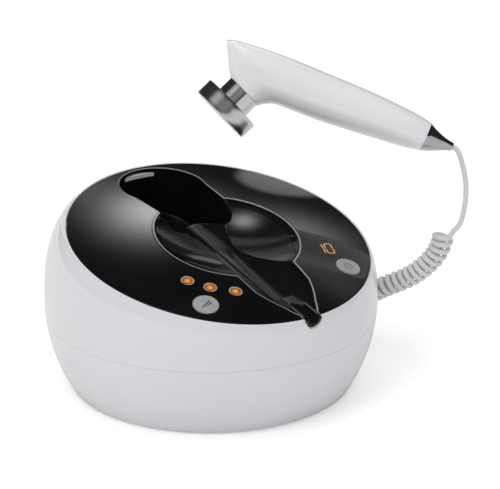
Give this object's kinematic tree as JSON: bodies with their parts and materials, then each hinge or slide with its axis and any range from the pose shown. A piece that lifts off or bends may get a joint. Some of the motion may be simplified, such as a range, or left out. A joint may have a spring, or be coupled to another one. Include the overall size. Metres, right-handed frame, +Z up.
{
  "type": "facial toning device",
  "caption": "Domed white tabletop facial toning device with a black cradle panel and a chrome-headed handpiece on a curly lead",
  "frame": {"origin": "middle of the base's underside, on the table", "axes": "+Z up, user on the -Y side, +X to the user's right"},
  "size_m": [0.2565, 0.2, 0.1922],
  "materials": {
    "casing_white": "glossy off-white moulded plastic",
    "handle_white": "glossy white moulded plastic",
    "panel_black": "mirror-gloss black plastic",
    "button_grey": "satin light grey plastic",
    "lamp_amber": "clear amber lens",
    "head_chrome": "polished chrome",
    "head_brushed": "turned and polished metal",
    "lead_grey": "satin pale grey cord jacket",
    "pad_rubber": "matt black rubber",
    "dark_plastic": "matt black plastic",
    "cream_plastic": "matt cream plastic",
    "board_green": "green solder resist on circuit board",
    "switch_metal": "pressed metal switch cover",
    "screw_steel": "zinc plated steel",
    "sink_aluminium": "extruded aluminium",
    "wire_grey": "grey wire insulation"
  },
  "bodies": {
    "base": {"base_pad": "pad_rubber", "lower_casing": "casing_white", "upper_casing": "casing_white", "top_panel": "panel_black", "cradle_tray": "panel_black", "level_switch": "switch_metal", "time_switch": "switch_metal", "lamp_lens_1": "lamp_amber", "lamp_lens_2": "lamp_amber", "lamp_lens_3": "lamp_amber", "lamp_leds": "lamp_amber", "display_window": "panel_black", "display_module": "dark_plastic", "left_board": "board_green", "right_board": "board_green", "panel_board_screws": "screw_steel", "tray_screws": "screw_steel", "casing_screws": "screw_steel", "main_board": "board_green", "main_board_screws": "screw_steel", "board_headers": "cream_plastic", "rf_transformer": "dark_plastic", "heat_sink": "sink_aluminium", "driver_transistors": "dark_plastic", "filter_capacitors": "dark_plastic", "dc_inlet": "dark_plastic", "inlet_nut": "screw_steel", "inlet_leads": "wire_grey", "left_cable": "wire_grey", "right_cable": "wire_grey", "lead_gland": "lead_grey", "gland_nut": "cream_plastic", "lead_tail": "lead_grey", "lead_lower": "lead_grey", "lead_coil": "lead_grey"},
    "level_key": {"level_button": "button_grey", "level_plunger": "dark_plastic"},
    "time_key": {"time_button": "button_grey", "time_plunger": "dark_plastic"},
    "handpiece": {"lead_upper": "lead_grey", "handle_left_shell": "handle_white", "handle_right_shell": "handle_white", "tail_cap": "head_chrome", "handpiece_lead": "lead_grey", "handpiece_board": "board_green", "electrode_lead": "wire_grey", "neck_ring": "head_chrome", "electrode_carrier": "cream_plastic", "electrode_disc": "head_brushed"}
  },
  "joints": [
    {"name": "handpiece_lift", "type": "slide", "parent": "base", "child": "handpiece", "axis": [0, 0, 1], "range_m": [0, 0.1]},
    {"name": "level_press", "type": "slide", "parent": "base", "child": "level_key", "axis": [0.0996, 0.3495, -0.9316], "range_m": [0, 0.0008], "stiffness_N_per_m": 240, "springref_m": -0.004},
    {"name": "time_press", "type": "slide", "parent": "base", "child": "time_key", "axis": [-0.0996, 0.3495, -0.9316], "range_m": [0, 0.0008], "stiffness_N_per_m": 240, "springref_m": -0.004}
  ]
}
